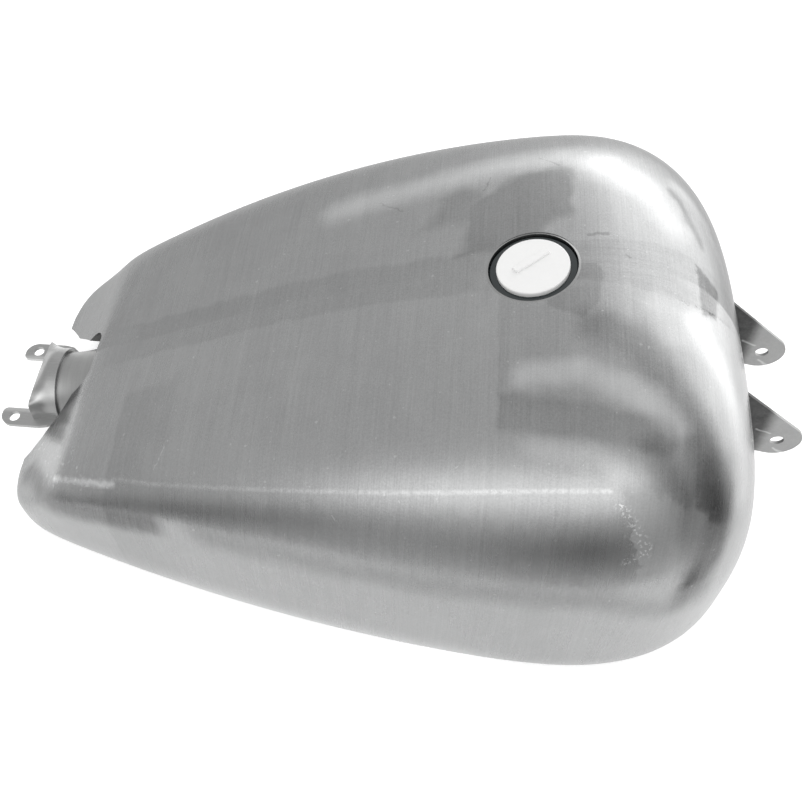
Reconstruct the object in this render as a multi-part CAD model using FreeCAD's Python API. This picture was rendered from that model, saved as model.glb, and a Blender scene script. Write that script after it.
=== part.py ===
import FreeCAD, Part
import math
import os

os.makedirs("parts", exist_ok=True)
V = FreeCAD.Vector

# ---------------------------------------------------------------------------
# Motorcycle fuel tank: bare steel, one-piece look, with a flush screw-in cap.
# Working frame while building: x from the rear lobes (0) to the nose (LEN),
# y to the rider's left, z up.  At the end everything is shifted so that the
# origin is the bottom centre of the whole assembly's box.
# All dimensions in millimetres.
# ---------------------------------------------------------------------------

# --- outer body -------------------------------------------------------------
LEN = 558.95            # body length, rear lobes to nose
SHEET = 1.5             # sheet thickness of shells, tunnel and pans
Z_FLOOR = 32.0          # working height of the underside
HALF_W = (-15.509, -117.524, 92.610, 182.653)      # half width polynomial in (u-0.5)
W_FRONT = (0.60157, 3.7512)                        # where the nose rounding starts, exponent
W_REAR = (0.07964, 5.0297)
Z_WIDE = (76.7045, 15.822)                         # height of the widest line, slope
TOP_H = (15.5568, -184.613, 167.170, 150.337)      # crown height polynomial
T_FRONT = (0.73447, 2.3054)
T_REAR = (0.10945, 1.3020)
LOW_H = (78.867, 14.578)                           # depth below the widest line
B_FRONT = (0.75035, 2.2)
B_REAR = (0.09653, 2.2)
P_UP = (4.2881, -1.9931)                           # section squareness, upper part
P_LOW = 3.1265
CROWN = ((0, 0.0), (22, 0.5), (40, 3.6), (57, 5.7), (74, 4.2), (90, 0.9), (106, -1.0),
         (130, -2.1), (149, -2.4), (189, -2.0), (227, -1.3), (264, -1.0), (299, -1.1),
         (332, -1.0), (360, -0.4), (387, 0.0), (470, 0.0), (559, 0.0))
CROWN_Y = 48.0          # lateral reach of the centre crown trim

# --- tunnel over the backbone ------------------------------------------------
TUN_TOP = 128.5         # roof height, inside
TUN_HALF = 27.0         # half width of the upper part
TUN_R = 14.0            # roof corner radius
TUN_KNEE = 104.0        # below this the walls lean out
TUN_FOOT = 50.0         # half width at the floor

# --- rear closing plates (underside of the rear lobes) -----------------------
FLARE_A = ((20.0, 116.0), (33.0, 101.0), (46.0, 85.0), (64.0, 73.0), (112.0, 36.0), (135.0, 18.0))
FLARE_X0 = 40.0         # plain section up to here
FLARE_X1 = 215.0        # merges into the tunnel wall here

# --- filler cap --------------------------------------------------------------
CAP_X = 386.7
LIP_R = 31.3            # outside of the weld-in neck's lip
RECESS_R = 29.9
THREAD_R = 24.40        # neck bore (thread simplified to a plain cylinder)
PLUG_R = 24.34
KNOB_R = 24.5
KNOB_TOP = 0.6
POP = 10.0              # travel of the pop-up knob
PITCH = 4.0             # thread pitch of the cap
TURNS = 3.0

# --- mounts ------------------------------------------------------------------
TAB_Y = 40.9
TAB_T = 2.5
TAB_HOLE = (578.4, 132.2)
TAB_HOLE_R = 5.0
TAB_TIP_R = 17.4
EAR_HOLE = (-13.6, 33.4)
EAR_HOLE_R = 4.5
EAR_Z = (77.0, 80.0)
EAR_W = (25.2, 41.4)
EAR_X = (-24.2, 24.5)

# --- fittings underneath -----------------------------------------------------
WELL_R = 30.0
WELL_TOP = 58.0
VALVE_XY = (300.0, 95.0)      # fuel valve bung, left side
VENT_XY = (300.0, -95.0)      # vent tube, right side
CROSS_XY = (440.0, 95.0)      # crossover nipples, both sides
BUNG_R = 10.2                 # M22 x 1.5 thread, minor radius
BUNG_OUT = 16.0
NIP_R = 4.0            # hose stubs
NIP_FIT = 4.6          # where a stub passes through its pan
NIP_IN = 2.75
BAFFLE_X = 232.0


# ---------------------------------------------------------------------------
# outer surface
# ---------------------------------------------------------------------------
def poly(c, u):
    r = 0.0
    for a in c:
        r = r * u + a
    return r


def fall(u, u0, n):
    t = min(max((u - u0) / (1.0 - u0), 0.0), 1.0)
    return max(1.0 - t ** n, 0.0) ** (1.0 / n)


def rise(u, u0, n):
    t = min(max((u0 - u) / u0, 0.0), 1.0)
    return max(1.0 - t ** n, 0.0) ** (1.0 / n)


def spline1(tab, x):
    """monotone-ish cubic through a short table"""
    n = len(tab)
    if x <= tab[0][0]:
        return tab[0][1]
    if x >= tab[-1][0]:
        return tab[-1][1]
    for i in range(n - 1):
        if tab[i][0] <= x <= tab[i + 1][0]:
            break

    def slope(j):
        if j == 0 or j == n - 1:
            return 0.0
        return (tab[j + 1][1] - tab[j - 1][1]) / (tab[j + 1][0] - tab[j - 1][0])
    h = tab[i + 1][0] - tab[i][0]
    t = (x - tab[i][0]) / h
    a, b = tab[i][1], tab[i + 1][1]
    ma, mb = slope(i) * h, slope(i + 1) * h
    return ((2 * t ** 3 - 3 * t ** 2 + 1) * a + (t ** 3 - 2 * t ** 2 + t) * ma
            + (-2 * t ** 3 + 3 * t ** 2) * b + (t ** 3 - t ** 2) * mb)


def station(x):
    u = min(max(x / LEN, 0.0), 1.0)
    d = u - 0.5
    w = poly(HALF_W, d) * fall(u, *W_FRONT) * rise(u, *W_REAR)
    m = Z_WIDE[0] + Z_WIDE[1] * d
    ht = poly(TOP_H, d) * fall(u, *T_FRONT) * rise(u, *T_REAR)
    hb = (LOW_H[0] + LOW_H[1] * d) * fall(u, *B_FRONT) * rise(u, *B_REAR)
    pu = P_UP[0] + P_UP[1] * d
    return w, ht, m, hb, pu


def point(x, t):
    """t from +90 (top centre) to -90 (bottom centre), degrees, as a polar angle
    in the section scaled to a unit square; right side, y < 0"""
    w, ht, m, hb, pu = station(x)
    a = math.radians(t)
    c = max(math.cos(a), 0.0)
    s = math.sin(a)
    if abs(abs(t) - 90.0) < 1e-9:
        c = 0.0
    n = pu if s >= 0 else P_LOW
    r = (c ** n + abs(s) ** n) ** (-1.0 / n)
    y = w * r * c
    if s >= 0:
        z = m + ht * r * s
        z += spline1(CROWN, x) * math.exp(-(y / CROWN_Y) ** 2) * min(r * s, 1.0)
    else:
        z = m + hb * r * s
    return V(x, -y, z)


def normal(x, t):
    """outward unit normal"""
    h = min(0.4, 0.02 * x + 1e-4, 0.02 * (LEN - x) + 1e-4)
    px = point(x + h, t) - point(x - h, t)
    if t > 89.5:
        n = V(-px.z, 0, px.x)
    elif t < -89.5:
        n = V(px.z, 0, -px.x)
    else:
        k = 0.3
        pt = point(x, t + k) - point(x, t - k)
        n = pt.cross(px)
        n = V(n.x, n.y, n.z)
    n.normalize()
    # it has to point away from the axis
    w, ht, m, hb, pu = station(x)
    out = point(x, t) - V(x, 0, m)
    if out.Length > 1e-6 and n.dot(out) < 0:
        n = n * -1.0
    return n


def stations(n):
    """x positions spread evenly along the outline, closer at both ends"""
    N = 4000
    xs, cum = [], [0.0]
    prev = None
    for i in range(N + 1):
        s = i / N
        x = LEN * (0.5 - 0.5 * math.cos(math.pi * s))
        w, ht, m, hb, pu = station(x)
        cur = (x, w, ht, hb)
        if prev is not None:
            d = math.sqrt(sum((a - b) ** 2 for a, b in zip(cur, prev)))
            d *= 1.0 + 2.6 * math.exp(-(x / 34.0) ** 2) + 1.3 * math.exp(-((LEN - x) / 50.0) ** 2)
            cum.append(cum[-1] + d)
        xs.append(x)
        prev = cur
    out = []
    j = 0
    for i in range(n):
        target = cum[-1] * i / (n - 1)
        while j < N and cum[j + 1] < target:
            j += 1
        f = 0.0 if cum[j + 1] == cum[j] else (target - cum[j]) / (cum[j + 1] - cum[j])
        out.append(xs[j] + f * (xs[j + 1] - xs[j]))
    out[0], out[-1] = 0.0, LEN
    return out


def section_angles(n, x=300.0):
    """polar angles that spread n points evenly along the section at x"""
    N = 3600
    ts, cum = [], [0.0]
    prev = None
    for i in range(N + 1):
        t = 90.0 - 180.0 * i / N
        p = point(x, t)
        if prev is not None:
            cum.append(cum[-1] + (p - prev).Length)
        ts.append(t)
        prev = p
    out = []
    j = 0
    for i in range(n):
        target = cum[-1] * i / (n - 1)
        while j < N - 1 and cum[j + 1] < target:
            j += 1
        seg = cum[j + 1] - cum[j]
        f = 0.0 if seg < 1e-12 else (target - cum[j]) / seg
        out.append(ts[j] + f * (ts[j + 1] - ts[j]))
    out[0], out[-1] = 90.0, -90.0
    return out


NS, NT = 60, 37
TRIM = 0.6              # the two ends are closed by a small plane this far in (inside the tunnel's opening)
SEAM = 6.0              # the rear edge is solid metal up to here
XS = stations(NS)
XS = [TRIM] + [x for x in XS if TRIM * 2.5 < x < LEN - TRIM * 2.5] + [LEN - TRIM]
TS = section_angles(NT)


def inside(x, t, offset):
    """point of the surface `offset` inside the outer one, at the plane x"""
    lo, hi = max(x - offset * 1.02, 0.02), min(x + offset * 1.02, LEN - 0.02)
    for _ in range(22):
        s = 0.5 * (lo + hi)
        n = normal(s, t)
        if s - n.x * offset < x:
            lo = s
        else:
            hi = s
    s = 0.5 * (lo + hi)
    p = point(s, t) - normal(s, t) * offset
    return V(x, p.y, p.z)


def half_grid(offset):
    rows = []
    for x in XS:
        if offset:
            # the same planes, drawn in by the sheet in front and by the folded seam behind
            x = SEAM + (x - TRIM) * (LEN - TRIM - offset - SEAM) / (LEN - 2 * TRIM)
        row = []
        for t in TS:
            p = inside(x, t, offset) if offset else point(x, t)
            if abs(abs(t) - 90.0) < 1e-9:
                p.y = 0.0
            row.append(V(x, p.y, p.z))
        rows.append(row)
    return rows


def half_solid(offset):
    """closed solid of the right half (y <= 0)"""
    surf = Part.BSplineSurface()
    surf.interpolate(half_grid(offset))
    u0, u1, v0, v1 = surf.bounds()
    skin = surf.toShape()
    top = surf.vIso(v0).toShape()
    bot = surf.vIso(v1).toShape()
    rear = surf.uIso(u0).toShape()
    front = surf.uIso(u1).toShape()

    def chord(c):
        return Part.makeLine(c.valueAt(c.FirstParameter), c.valueAt(c.LastParameter))
    lr, lf = chord(rear), chord(front)
    flat = Part.Face(Part.Wire(Part.__sortEdges__([top, lr, bot, lf])))
    cap0 = Part.Face(Part.Wire([rear, lr]))
    cap1 = Part.Face(Part.Wire([front, lf]))
    shell = Part.makeCompound([skin, flat, cap0, cap1])
    shell.sewShape(1e-3)
    solid = Part.Solid(shell.Shells[0])
    if solid.Volume < 0:
        solid.reverse()
    solid.fix(1e-5, 1e-5, 1e-3)
    return solid


def mirror(s):
    return s.mirror(V(0, 0, 0), V(0, 1, 0))


# ---------------------------------------------------------------------------
# small helpers
# ---------------------------------------------------------------------------
def face_yz(pts, x):
    return Part.Face(Part.makePolygon([V(x, y, z) for y, z in pts] + [V(x, pts[0][0], pts[0][1])]))


def box(x0, x1, y0, y1, z0, z1):
    return Part.makeBox(x1 - x0, y1 - y0, z1 - z0, V(x0, y0, z0))


def cyl(r, x, y, z0, z1):
    return Part.makeCylinder(r, z1 - z0, V(x, y, z0), V(0, 0, 1))


def one(s, name=""):
    """the single solid of a boolean result"""
    sol = sorted(s.Solids, key=lambda q: -q.Volume)
    if len(sol) > 1:
        print("note:", name, "had", len(sol), "solids:", [round(q.Volume, 1) for q in sol[:5]])
    return sol[0]


def offset_poly(pts, d):
    """offset an open polyline to its left-hand normal side by d"""
    out = []
    n = len(pts)
    for i in range(n):
        ns = []
        if i > 0:
            dx, dy = pts[i][0] - pts[i - 1][0], pts[i][1] - pts[i - 1][1]
            q = math.hypot(dx, dy)
            ns.append((-dy / q, dx / q))
        if i < n - 1:
            dx, dy = pts[i + 1][0] - pts[i][0], pts[i + 1][1] - pts[i][1]
            q = math.hypot(dx, dy)
            ns.append((-dy / q, dx / q))
        if len(ns) == 1:
            nx, ny = ns[0]
            k = d
        else:
            nx, ny = ns[0][0] + ns[1][0], ns[0][1] + ns[1][1]
            q = math.hypot(nx, ny)
            nx, ny = nx / q, ny / q
            k = d / max(nx * ns[0][0] + ny * ns[0][1], 0.2)
        out.append((pts[i][0] + nx * k, pts[i][1] + ny * k))
    return out


def sheet_solid(top, bottom):
    """closed solid between two point grids of the same size"""
    def surf(g):
        s = Part.BSplineSurface()
        s.interpolate(g)
        return s
    a, b = surf(top), surf(bottom)
    faces = [a.toShape(), b.toShape()]
    u0, u1, v0, v1 = a.bounds()
    U0, U1, V0, V1 = b.bounds()
    pairs = [(a.uIso(u0), b.uIso(U0)), (a.uIso(u1), b.uIso(U1)),
             (a.vIso(v0), b.vIso(V0)), (a.vIso(v1), b.vIso(V1))]
    for p, q in pairs:
        faces.append(Part.makeRuledSurface(p.toShape(), q.toShape()))
    comp = Part.makeCompound(faces)
    comp.sewShape(1e-2)
    s = Part.Solid(comp.Shells[0])
    if s.Volume < 0:
        s.reverse()
    return s


PARTS = {}

# ---------------------------------------------------------------------------
# bodies for the booleans
# ---------------------------------------------------------------------------
OUT_R = half_solid(0.0)
INN_R = half_solid(SHEET)
print("outer half", OUT_R.isValid(), round(OUT_R.Volume / 1e6, 3), "inner half", INN_R.isValid(),
      round(INN_R.Volume / 1e6, 3))

WALL_K = (TUN_FOOT - TUN_HALF) / (TUN_KNEE - Z_FLOOR)


def tunnel_tool(d, x0=-80.0, x1=640.0):
    """prism along x; d = 0 is the open space, d = SHEET its outside"""
    hw = TUN_HALF + d
    r = TUN_R + d
    zt = TUN_TOP + d
    zb = -20.0
    kl = math.hypot(1.0, WALL_K)
    foot = TUN_HALF + (TUN_KNEE - zb) * WALL_K + d * kl
    knee = TUN_KNEE - d * (kl - 1.0) / WALL_K if WALL_K else TUN_KNEE
    x = x0
    e = []
    s = math.sqrt(0.5)
    e.append(Part.LineSegment(V(x, -foot, zb), V(x, -hw, knee)))
    e.append(Part.LineSegment(V(x, -hw, knee), V(x, -hw, zt - r)))
    e.append(Part.Arc(V(x, -hw, zt - r), V(x, -hw + r - r * s, zt - r + r * s), V(x, -hw + r, zt)))
    e.append(Part.LineSegment(V(x, -hw + r, zt), V(x, hw - r, zt)))
    e.append(Part.Arc(V(x, hw - r, zt), V(x, hw - r + r * s, zt - r + r * s), V(x, hw, zt - r)))
    e.append(Part.LineSegment(V(x, hw, zt - r), V(x, hw, knee)))
    e.append(Part.LineSegment(V(x, hw, knee), V(x, foot, zb)))
    e.append(Part.LineSegment(V(x, foot, zb), V(x, -foot, zb)))
    w = Part.Wire([q.toShape() for q in e])
    return Part.Face(w).extrude(V(x1 - x0, 0, 0))


def flare_tool(d):
    """void under the right rear lobe (y < 0)"""
    A = list(FLARE_A)
    B = []
    for (y, z) in FLARE_A:
        B.append((TUN_HALF - 1.0 + max(TUN_KNEE - z, 0.0) * WALL_K, z))
    B[0] = FLARE_A[0]
    if d:
        # walking outward and down, the outside of the sheet is to the left
        A = offset_poly(A, d)
        B = [(y + d * 0.0, z + d * 0.0) for y, z in B]
        B = [(B[i][0], A[i][1]) for i in range(len(B))]
        B = [(TUN_HALF - 1.0 + max(TUN_KNEE - z, 0.0) * WALL_K + d, z) for y, z in B]
        B[0] = (A[0][0], A[0][1])
    zb = -20.0

    def closed(P):
        pts = list(P)
        pts += [(P[-1][0], zb), (P[0][0], zb)]
        return [(-y, z) for y, z in pts]
    a, b = closed(A), closed(B)

    def wire(P, x):
        return Part.makePolygon([V(x, y, z) for y, z in P] + [V(x, P[0][0], P[0][1])])
    return Part.makeLoft([wire(a, -80.0), wire(a, FLARE_X0), wire(b, FLARE_X1)], True, True)


T_IN, T_OUT = tunnel_tool(0.0), tunnel_tool(SHEET)
F_IN, F_OUT = flare_tool(0.0), flare_tool(SHEET)
BELOW = box(-100, 700, -300, 300, -60, Z_FLOOR)
BELOW_P = box(-100, 700, -300, 300, -60, Z_FLOOR + SHEET)

# cap frame
dz = 2.0
slope = (point(CAP_X + dz, 90.0).z - point(CAP_X - dz, 90.0).z) / (2 * dz)
TILT = math.atan(slope)
CAP_O = point(CAP_X, 90.0)
CAP_O = V(CAP_O.x, 0, CAP_O.z)
CAP_PL = FreeCAD.Placement(CAP_O, FreeCAD.Rotation(V(0, 1, 0), -math.degrees(TILT)))
CAP_AXIS = CAP_PL.Rotation.multVec(V(0, 0, 1))


def at_cap(s):
    s = s.copy()
    s.Placement = CAP_PL.multiply(s.Placement)
    return s


def turned(profile):
    """solid of revolution about the cap axis from (r, z) points"""
    pts = [V(r, 0, z) for r, z in profile]
    return Part.Face(Part.makePolygon(pts + [pts[0]])).revolve(V(0, 0, 0), V(0, 0, 1), 360)


def turned_xy(profile, x, y):
    s = turned(profile)
    s.translate(V(x, y, 0))
    return s


HOLE = at_cap(Part.makeCylinder(LIP_R, 60, V(0, 0, -30)))

# ---------------------------------------------------------------------------
# shells
# ---------------------------------------------------------------------------
sh = OUT_R.cut(INN_R)
sh = sh.cut(BELOW)
sh = sh.cut(T_IN)
sh = sh.cut(F_IN)
sh = sh.cut(HOLE)
shell_right = one(sh, "shell_right")
PARTS["shell_right"] = shell_right
PARTS["shell_left"] = mirror(shell_right)

# tunnel sheet: the two halves joined
tn = T_OUT.cut(T_IN).common(INN_R).cut(F_IN).cut(BELOW)
tn = one(tn, "tunnel half")
PARTS["tunnel"] = one(tn.fuse(mirror(tn)).removeSplitter(), "tunnel")

# rear closing plates
fp = F_OUT.cut(F_IN).common(INN_R).cut(T_OUT).cut(BELOW)
rear_plate = one(fp, "rear_plate")
PARTS["rear_plate_right"] = rear_plate
PARTS["rear_plate_left"] = mirror(rear_plate)


# floor pans with pressed wells
def pan(holes):
    slab = box(-50, 600, -260, 0, Z_FLOOR, Z_FLOOR + SHEET).common(INN_R).cut(T_OUT).cut(F_OUT)
    slab = one(slab, "pan slab")
    for (x, y) in (CROSS_XY, VALVE_XY):
        y = -abs(y)
        slab = slab.cut(cyl(WELL_R, x, y, Z_FLOOR - 5, Z_FLOOR + 5))
        prof = [(WELL_R, Z_FLOOR), (WELL_R, WELL_TOP - 5), (WELL_R - 1.5, WELL_TOP - 1.5), (WELL_R - 5, WELL_TOP),
                (0, WELL_TOP), (0, WELL_TOP - SHEET), (WELL_R - 5.6, WELL_TOP - SHEET),
                (WELL_R - SHEET - 1.1, WELL_TOP - 2.6), (WELL_R - SHEET, WELL_TOP - 5.5), (WELL_R - SHEET, Z_FLOOR)]
        slab = slab.fuse(turned_xy(prof, x, y))
    for (x, y, r) in holes:
        slab = slab.cut(cyl(r, x, -abs(y), WELL_TOP - 8, WELL_TOP + 4))
    return one(slab.removeSplitter(), "pan")


PARTS["bottom_pan_right"] = pan([(CROSS_XY[0], CROSS_XY[1], NIP_FIT), (VENT_XY[0], VENT_XY[1], NIP_FIT)])
PARTS["bottom_pan_left"] = mirror(pan([(CROSS_XY[0], CROSS_XY[1], NIP_FIT), (VALVE_XY[0], VALVE_XY[1], BUNG_OUT)]))

# slosh baffles: open at the bottom and at the top
BF_Z = (Z_FLOOR + 14.0, 176.0)
BF_GAP = 0.2            # left for the welds
edge = []
for k in range(61):
    t = 62.0 - 140.0 * k / 60.0
    p, q = inside(BAFFLE_X, t, SHEET), inside(BAFFLE_X + SHEET, t, SHEET)
    edge.append((max(p.y, q.y) + BF_GAP, 0.5 * (p.z + q.z)))


def edge_at(z):
    for (ya, za), (yb, zb) in zip(edge, edge[1:]):
        if zb <= z <= za:
            return (ya + (yb - ya) * (z - za) / (zb - za), z)
    raise ValueError("baffle edge does not reach z = %g" % z)


side = [edge_at(BF_Z[1])] + [p for p in edge if BF_Z[0] + 1.5 < p[1] < BF_Z[1] - 1.5] + [edge_at(BF_Z[0])]
wall = lambda z: -(TUN_HALF + max(TUN_KNEE - z, 0.0) * WALL_K + SHEET * math.hypot(1.0, WALL_K) + BF_GAP)
inner = [(wall(BF_Z[0]), BF_Z[0]), (wall(TUN_KNEE), TUN_KNEE), (wall(TUN_KNEE), TUN_TOP + SHEET), (-40.0, TUN_TOP + SHEET), (-40.0, BF_Z[1])]
at = lambda p: V(BAFFLE_X, p[0], p[1])
curve = Part.BSplineCurve()
curve.interpolate([at(p) for p in side])
rim = [curve.toShape(), Part.makeLine(at(side[-1]), at(inner[0]))]
rim += [Part.makeLine(at(p), at(q)) for p, q in zip(inner, inner[1:])]
rim += [Part.makeLine(at(inner[-1]), at(side[0]))]
bf = Part.Face(Part.Wire(rim)).extrude(V(SHEET, 0, 0))
for (y, z) in ((-78, 68), (-78, 112), (-128, 90)):
    bf = bf.cut(Part.makeCylinder(15, 20, V(BAFFLE_X - 5, y, z), V(1, 0, 0)))
baffle = one(bf, "baffle")
PARTS["baffle_right"] = baffle
PARTS["baffle_left"] = mirror(baffle)


# ---------------------------------------------------------------------------
# front tabs
# ---------------------------------------------------------------------------
def tangent(px, pz, cx, cz, r, side):
    """tangent point on the circle from the outside point; side +1 or -1"""
    dx, dz_ = px - cx, pz - cz
    d = math.hypot(dx, dz_)
    a = math.atan2(dz_, dx)
    b = math.acos(r / d)
    t = a + side * b
    return cx + r * math.cos(t), cz + r * math.sin(t), t


hx, hz = TAB_HOLE
P0 = (515.0, 209.0)
P1 = (528.0, 126.0)
t0 = tangent(P0[0], P0[1], hx, hz, TAB_TIP_R, -1)
t1 = tangent(P1[0], P1[1], hx, hz, TAB_TIP_R, +1)
a0, a1 = t0[2], t1[2]
while a1 > a0:
    a1 -= 2 * math.pi
am = 0.5 * (a0 + a1)


def tab(y):
    q = lambda x, z: V(x, y - TAB_T / 2, z)
    mid = (hx + TAB_TIP_R * math.cos(am), hz + TAB_TIP_R * math.sin(am))
    w = Part.Wire([
        Part.LineSegment(q(*P0), q(t0[0], t0[1])).toShape(),
        Part.Arc(q(t0[0], t0[1]), q(*mid), q(t1[0], t1[1])).toShape(),
        Part.LineSegment(q(t1[0], t1[1]), q(*P1)).toShape(),
        Part.LineSegment(q(*P1), q(*P0)).toShape()])
    s = Part.Face(w).extrude(V(0, TAB_T, 0))
    s = s.cut(Part.makeCylinder(TAB_HOLE_R, 20, V(hx, y - 10, hz), V(0, 1, 0)))
    s = s.cut(OUT_R)
    return one(s, "tab")


tab_r = tab(-TAB_Y)
PARTS["front_tab_right"] = tab_r
PARTS["front_tab_left"] = mirror(tab_r)

# ---------------------------------------------------------------------------
# rear saddle sheet: arch that comes out of the tunnel
# ---------------------------------------------------------------------------
SAD_R = 29.5            # outside radius
SAD_T = 1.5
SAD_Z = 78.0
SAD_X = (17.0, 112.0)


def sad_dz(x):
    t = min(max((x - 22.0) / 66.0, 0.0), 1.0)
    return 21.0 * (3 * t * t - 2 * t ** 3)


def arch_rows(r, xs, leg):
    rows = []
    for x in xs:
        row = []
        z0 = SAD_Z + sad_dz(x)
        for i in range(4):
            row.append(V(x, -r, z0 - leg * (1 - i / 4.0)))
        for i in range(17):
            a = math.pi * (1.0 - i / 16.0)
            row.append(V(x, r * math.cos(a), z0 + r * math.sin(a)))
        for i in range(1, 5):
            row.append(V(x, r, z0 - leg * i / 4.0))
        rows.append(row)
    return rows


xs = [SAD_X[0] + (SAD_X[1] - SAD_X[0]) * i / 18.0 for i in range(19)]
sad = sheet_solid(arch_rows(SAD_R, xs, 8.0), arch_rows(SAD_R - SAD_T, xs, 8.0))
sad = sad.common(T_IN)
PARTS["rear_saddle"] = one(sad, "rear_saddle")

# ---------------------------------------------------------------------------
# rear bracket: strap over the saddle's end, with two bolt ears
# ---------------------------------------------------------------------------
BR_T = 2.45
BR_R = 32.2             # outside radius where it lies over the saddle


def resample(pts, n):
    cum = [0.0]
    for p, q in zip(pts, pts[1:]):
        cum.append(cum[-1] + math.hypot(q[0] - p[0], q[1] - p[1]))
    out = []
    j = 0
    for i in range(n):
        t = cum[-1] * i / (n - 1)
        while j < len(pts) - 2 and cum[j + 1] < t:
            j += 1
        f = (t - cum[j]) / (cum[j + 1] - cum[j])
        out.append((pts[j][0] + f * (pts[j + 1][0] - pts[j][0]), pts[j][1] + f * (pts[j + 1][1] - pts[j][1])))
    return out


def smooth_half(pts, r, n):
    """round the corners of a polyline (y, z) with a small quadratic blend, then resample"""
    dense = [pts[0]]
    for a, b, c in zip(pts, pts[1:], pts[2:]):
        la = math.hypot(b[0] - a[0], b[1] - a[1])
        lc = math.hypot(c[0] - b[0], c[1] - b[1])
        k = min(r, 0.45 * la, 0.45 * lc)
        p = (b[0] + (a[0] - b[0]) * k / la, b[1] + (a[1] - b[1]) * k / la)
        q = (b[0] + (c[0] - b[0]) * k / lc, b[1] + (c[1] - b[1]) * k / lc)
        for i in range(9):
            t = i / 8.0
            dense.append(((1 - t) ** 2 * p[0] + 2 * t * (1 - t) * b[0] + t * t * q[0],
                          (1 - t) ** 2 * p[1] + 2 * t * (1 - t) * b[1] + t * t * q[1]))
    dense.append(pts[-1])
    return resample(dense, n)


NB = 21
rear_half = smooth_half([(0.0, 99.0), (14.0, 98.6), (33.0, 97.0), (34.5, 88.0), (35.2, 74.0)], 5.0, NB)
arch = [(BR_R * math.sin(math.radians(a)), SAD_Z + BR_R * math.cos(math.radians(a)))
        for a in range(0, 91, 6)]
front_half = resample(arch + [(BR_R, 74.0)], NB)


def bracket_row(x):
    t = min(max((x - 3.0) / 14.0, 0.0), 1.0)
    e = math.sin(t * math.pi / 2)
    half = [((1 - e) * r[0] + e * f[0], (1 - e) * r[1] + e * f[1]) for r, f in zip(rear_half, front_half)]
    full = [(-y, z) for y, z in reversed(half)] + half[1:]
    return [V(x, y, z) for y, z in full]


bx = [3.0, 4.2, 5.6, 7.2, 9.0, 11.0, 13.0, 15.0, 17.0, 19.0, 21.0, 23.0]
top = [bracket_row(x) for x in bx]
low = []
for i, row in enumerate(top):
    lr = []
    for j, p in enumerate(row):
        iu = top[min(i + 1, len(top) - 1)][j] - top[max(i - 1, 0)][j]
        jv = row[min(j + 1, len(row) - 1)] - row[max(j - 1, 0)]
        n = iu.cross(jv)
        n.normalize()
        if n.dot(p - V(p.x, 0, 80)) < 0:
            n = n * -1.0
        q = p - n * BR_T
        if j == 0 or j == len(row) - 1:
            q.z = 74.0
        if abs(p.y) < 1e-9:
            q.y = 0.0
        if p.x >= 17.0 - 1e-6:
            q.x = p.x
        lr.append(V(q.x, q.y, q.z))
    low.append(lr)
strap = sheet_solid(top, low)


def ear():
    y0, y1 = EAR_W
    r = 7.4
    pts = []
    x0, x1 = EAR_X
    q = lambda x, y: V(x, -y, EAR_Z[0])
    e = [Part.LineSegment(q(x1, y0 + 3), q(x1, y1 - 9)),
         Part.LineSegment(q(x1, y1 - 9), q(x1 - 9, y1 - 1.5)),
         Part.LineSegment(q(x1 - 9, y1 - 1.5), q(x1 - 16, y1)),
         Part.LineSegment(q(x1 - 16, y1), q(x0 + r + 2, y1)),
         Part.Arc(q(x0 + r + 2, y1), q(x0 + 2.4, y1 - 3.6), q(x0, y1 - r - 1.0)),
         Part.LineSegment(q(x0, y1 - r - 1.0), q(x0, y0 + 4.0)),
         Part.Arc(q(x0, y0 + 4.0), q(x0 + 1.2, y0 + 1.2), q(x0 + 4.0, y0)),
         Part.LineSegment(q(x0 + 4.0, y0), q(x1 - 3, y0)),
         Part.LineSegment(q(x1 - 3, y0), q(x1, y0 + 3))]
    s = Part.Face(Part.Wire([a.toShape() for a in e])).extrude(V(0, 0, EAR_Z[1] - EAR_Z[0]))
    s = s.cut(cyl(EAR_HOLE_R, EAR_HOLE[0], -EAR_HOLE[1], 60, 100))
    return one(s.cut(box(16.9, 40, -29.6, 29.6, 60, 100)), "ear")


ear_r = ear()
cutter = box(-30, 60, -60, 60, 0, EAR_Z[0] + 1.5)
br = strap.cut(cutter).fuse(ear_r).fuse(mirror(ear_r))
PARTS["rear_bracket"] = one(br, "rear_bracket")

# ---------------------------------------------------------------------------
# filler neck and cap (drawn along z, then placed on the tilted cap axis)
# ---------------------------------------------------------------------------
Z_LIP = -0.3
Z_SEAT = -8.4           # where the gasket sits
Z_GASK = -6.4
Z_WASH = -5.6
Z_FLANGE = -2.4         # top of the cap body's flange
Z_KNOB0 = -3.4          # floor of the knob's recess
Z_BORE = -14.6          # floor of the centre bore
Z_PLUG = -20.0
Z_STEM = -31.6

neck = turned([(RECESS_R, Z_LIP), (LIP_R, Z_LIP - 0.3), (LIP_R, -10.0), (28.4, -12.5), (28.4, -24.0),
               (THREAD_R, -24.0), (THREAD_R, Z_SEAT), (RECESS_R, Z_SEAT)])
PARTS["filler_neck"] = at_cap(neck)
PARTS["cap_gasket"] = at_cap(turned([(THREAD_R, Z_SEAT), (RECESS_R - 0.3, Z_SEAT), (RECESS_R - 0.3, Z_GASK), (THREAD_R, Z_GASK)]))
PARTS["slip_washer"] = at_cap(turned([(THREAD_R, Z_GASK), (RECESS_R - 0.4, Z_GASK), (RECESS_R - 0.4, Z_WASH), (THREAD_R, Z_WASH)]))

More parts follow.
